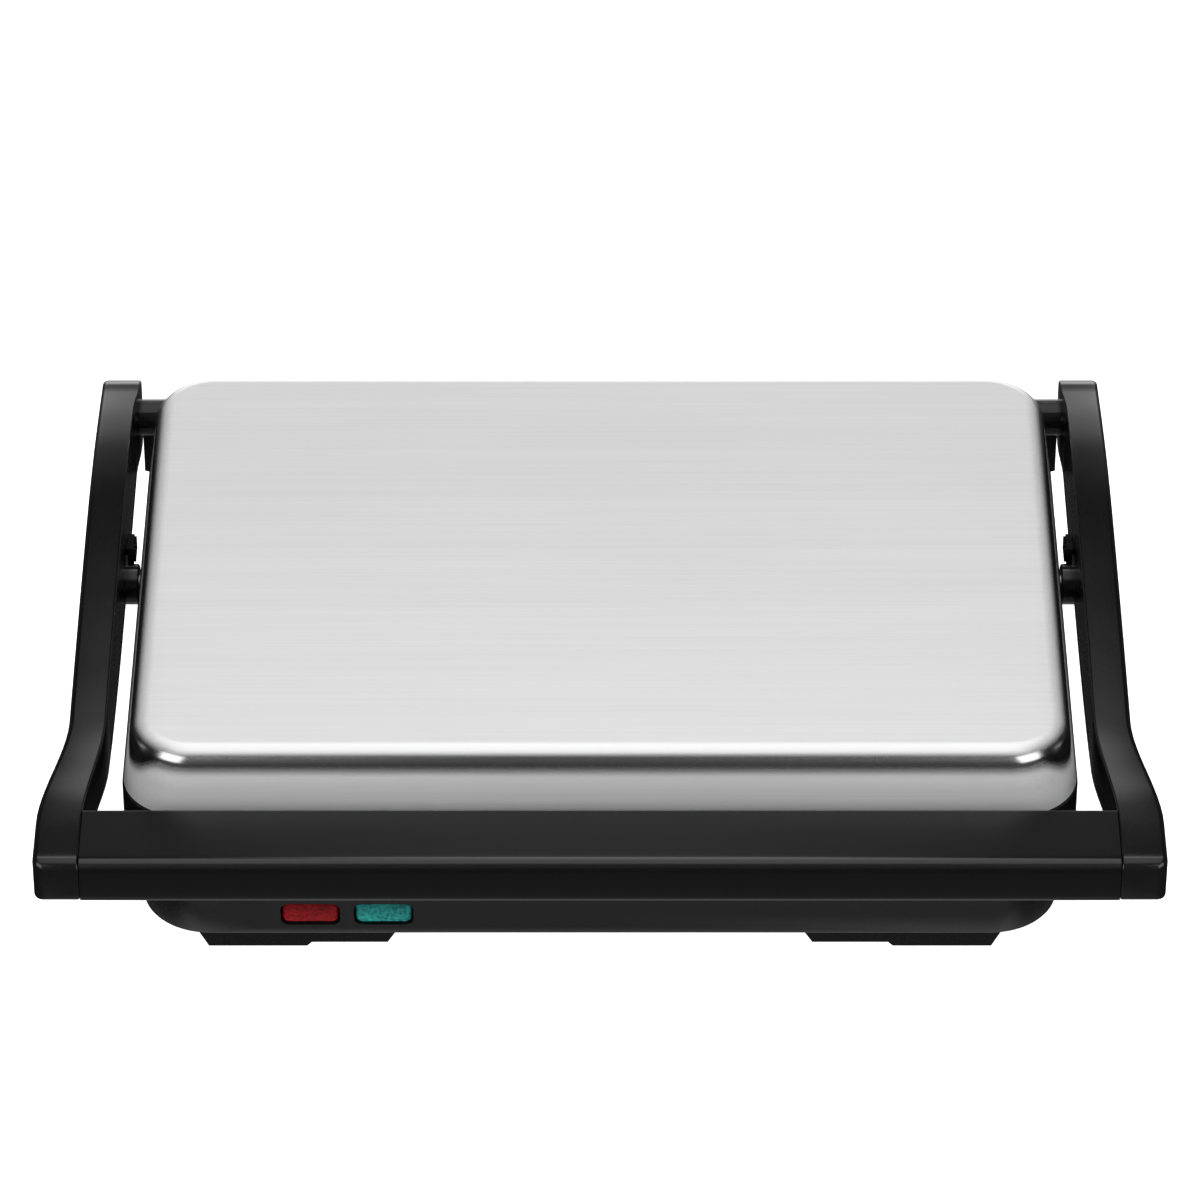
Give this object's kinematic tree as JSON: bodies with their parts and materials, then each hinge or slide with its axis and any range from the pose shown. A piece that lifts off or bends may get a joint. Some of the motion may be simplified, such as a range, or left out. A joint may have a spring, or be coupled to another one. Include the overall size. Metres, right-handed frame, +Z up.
{
  "type": "panini press",
  "caption": "Panini press with a brushed steel lid, ribbed upper and lower plates, indicator lamps and a bail handle that opens the floating lid.",
  "frame": {"origin": "centre of the footprint of the whole press, at table level", "axes": "+X to the right along the handle bar, -Y to the front where the bar and lamps are, +Z up"},
  "size_m": [0.2924, 0.215, 0.075],
  "materials": {
    "black_plastic": "fine-textured black moulding",
    "inner_plastic": "plain black moulding",
    "brushed_steel": "stainless sheet brushed from side to side",
    "grill_plate": "cast aluminium under a dark non-stick coating",
    "zinc_steel": "zinc plated steel",
    "aluminised_sheet": "dull aluminised steel sheet",
    "element_sheath": "oxidised steel tube",
    "rubber": "matt black rubber",
    "ceramic": "off-white ceramic or heat-proof moulding",
    "red_lens": "clear red moulded lens",
    "green_lens": "clear blue-green moulded lens",
    "neon_glass": "small glass neon lamp"
  },
  "bodies": {
    "base": {"base_housing": "black_plastic", "bottom_cover": "black_plastic", "lower_grill_plate": "grill_plate", "lower_heating_element": "element_sheath", "lower_heat_reflector": "aluminised_sheet", "thermostat": "zinc_steel", "thermal_fuse": "ceramic", "terminal_block": "ceramic", "cord_bushing": "rubber", "power_lamp_lens": "red_lens", "ready_lamp_lens": "green_lens", "power_neon_lamp": "neon_glass", "ready_neon_lamp": "neon_glass", "lamp_holder": "ceramic", "left_hinge_post": "black_plastic", "right_hinge_post": "black_plastic", "left_hinge_pin": "zinc_steel", "right_hinge_pin": "zinc_steel", "front_left_foot_pad": "rubber", "front_right_foot_pad": "rubber", "rear_left_foot_pad": "rubber", "rear_right_foot_pad": "rubber", "bottom_cover_screw_1": "zinc_steel", "bottom_cover_screw_2": "zinc_steel", "bottom_cover_screw_3": "zinc_steel", "bottom_cover_screw_4": "zinc_steel", "lower_reflector_screw_1": "zinc_steel", "lower_reflector_screw_2": "zinc_steel", "lower_reflector_screw_3": "zinc_steel", "lower_reflector_screw_4": "zinc_steel"},
    "handle_frame": {"handle_bar": "black_plastic", "handle_bar_cover": "inner_plastic", "left_arm": "black_plastic", "left_arm_cover": "inner_plastic", "left_lid_pivot_pin": "zinc_steel", "left_handle_screw": "zinc_steel", "right_arm": "black_plastic", "right_arm_cover": "inner_plastic", "right_lid_pivot_pin": "zinc_steel", "right_handle_screw": "zinc_steel"},
    "lid": {"lid_frame": "black_plastic", "lid_steel_cover": "brushed_steel", "upper_grill_plate": "grill_plate", "upper_heating_element": "element_sheath", "upper_heat_reflector": "aluminised_sheet", "upper_thermal_fuse": "ceramic", "upper_reflector_screw_1": "zinc_steel", "upper_reflector_screw_2": "zinc_steel", "upper_reflector_screw_3": "zinc_steel", "upper_reflector_screw_4": "zinc_steel"},
    "left_lock": {"left_lock_slider": "inner_plastic"},
    "right_lock": {"right_lock_slider": "inner_plastic"}
  },
  "joints": [
    {"name": "handle_hinge", "type": "hinge", "parent": "base", "child": "handle_frame", "pos_m": [0, 0.097, 0.054], "axis": [-1, 0, 0], "range_deg": [0, 100]},
    {"name": "lid_float", "type": "hinge", "parent": "handle_frame", "child": "lid", "pos_m": [0, 0.029, 0.047], "axis": [-1, 0, 0], "range_deg": [-12, 0]},
    {"name": "left_lock_slide", "type": "slide", "parent": "handle_frame", "child": "left_lock", "axis": [0, 1, 0], "range_m": [0, 0.004]},
    {"name": "right_lock_slide", "type": "slide", "parent": "handle_frame", "child": "right_lock", "axis": [0, 1, 0], "range_m": [0, 0.004]}
  ],
  "couplings": [
    {"joint": "lid_float", "follows": "handle_hinge", "ratio": -0.12}
  ]
}
